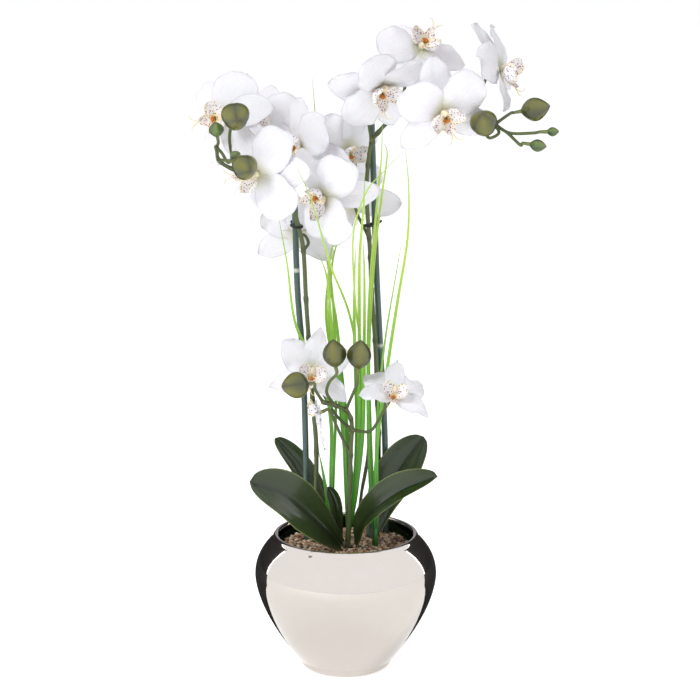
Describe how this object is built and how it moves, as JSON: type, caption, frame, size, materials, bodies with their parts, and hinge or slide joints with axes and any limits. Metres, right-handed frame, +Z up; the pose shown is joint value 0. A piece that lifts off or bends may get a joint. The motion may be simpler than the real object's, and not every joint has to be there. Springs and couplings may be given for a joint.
{
  "type": "potted moth orchid",
  "caption": "Artificial white moth orchid with speckled lips, buds, dark leaves and lime grass, staked and planted in pebbles in a round silver-glazed pot.",
  "frame": {"origin": "middle of the flat foot of the pot, on the surface it stands on", "axes": "+Z up along the pot's axis, +X to the viewer's right, -Y towards the front"},
  "size_m": [0.2895, 0.1656, 0.531],
  "materials": {
    "silver_glaze": "silver mirror glaze on ceramic",
    "floral_foam": "rough green foam",
    "river_pebbles": "smooth small mixed pebbles, lightly lacquered",
    "dark_green_stake": "satin plastic-coated wire stake",
    "black_twist_tie": "matt plastic-coated wire",
    "olive_stem": "satin moulded plastic",
    "glossy_leaf": "glossy coated leaf",
    "lime_grass": "satin moulded plastic",
    "white_petal": "matt pressed fabric",
    "speckled_lip": "matt printed fabric",
    "olive_bud": "satin moulded plastic"
  },
  "bodies": {
    "root": {"pot": "silver_glaze", "foam_plug": "floral_foam", "pebble_bed": "river_pebbles", "stake_left": "dark_green_stake", "stake_right": "dark_green_stake", "stem_left": "olive_stem", "stem_right": "olive_stem", "stem_front": "olive_stem", "tie_left": "black_twist_tie", "tie_right": "black_twist_tie", "leaf_front_left": "glossy_leaf", "leaf_front_right": "glossy_leaf", "leaf_back_left": "glossy_leaf", "leaf_back_right": "glossy_leaf", "leaf_middle_right": "glossy_leaf", "leaf_middle_left": "glossy_leaf", "grass_left": "lime_grass", "grass_middle": "lime_grass", "grass_right": "lime_grass", "bloom_a": "white_petal", "lip_a": "speckled_lip", "bloom_b": "white_petal", "lip_b": "speckled_lip", "bloom_c": "white_petal", "lip_c": "speckled_lip", "bloom_d": "white_petal", "lip_d": "speckled_lip", "bloom_e": "white_petal", "lip_e": "speckled_lip", "bloom_f": "white_petal", "lip_f": "speckled_lip", "bloom_g": "white_petal", "lip_g": "speckled_lip", "bloom_h": "white_petal", "lip_h": "speckled_lip", "bloom_i": "white_petal", "lip_i": "speckled_lip", "bloom_j": "white_petal", "lip_j": "speckled_lip", "bloom_k": "white_petal", "lip_k": "speckled_lip", "bloom_l": "white_petal", "lip_l": "speckled_lip", "bloom_m": "white_petal", "lip_m": "speckled_lip", "bloom_n": "white_petal", "lip_n": "speckled_lip", "bloom_o": "white_petal", "lip_o": "speckled_lip", "bud_front_left": "olive_bud", "bud_front_right": "olive_bud", "bud_front_side": "olive_bud", "bud_right_inner": "olive_bud", "bud_right_outer": "olive_bud", "bud_right_small_upper": "olive_bud", "bud_right_small_lower": "olive_bud", "bud_left_upper": "olive_bud", "bud_left_lower": "olive_bud", "bud_left_small_outer": "olive_bud", "bud_left_small_inner": "olive_bud"}
  },
  "joints": []
}
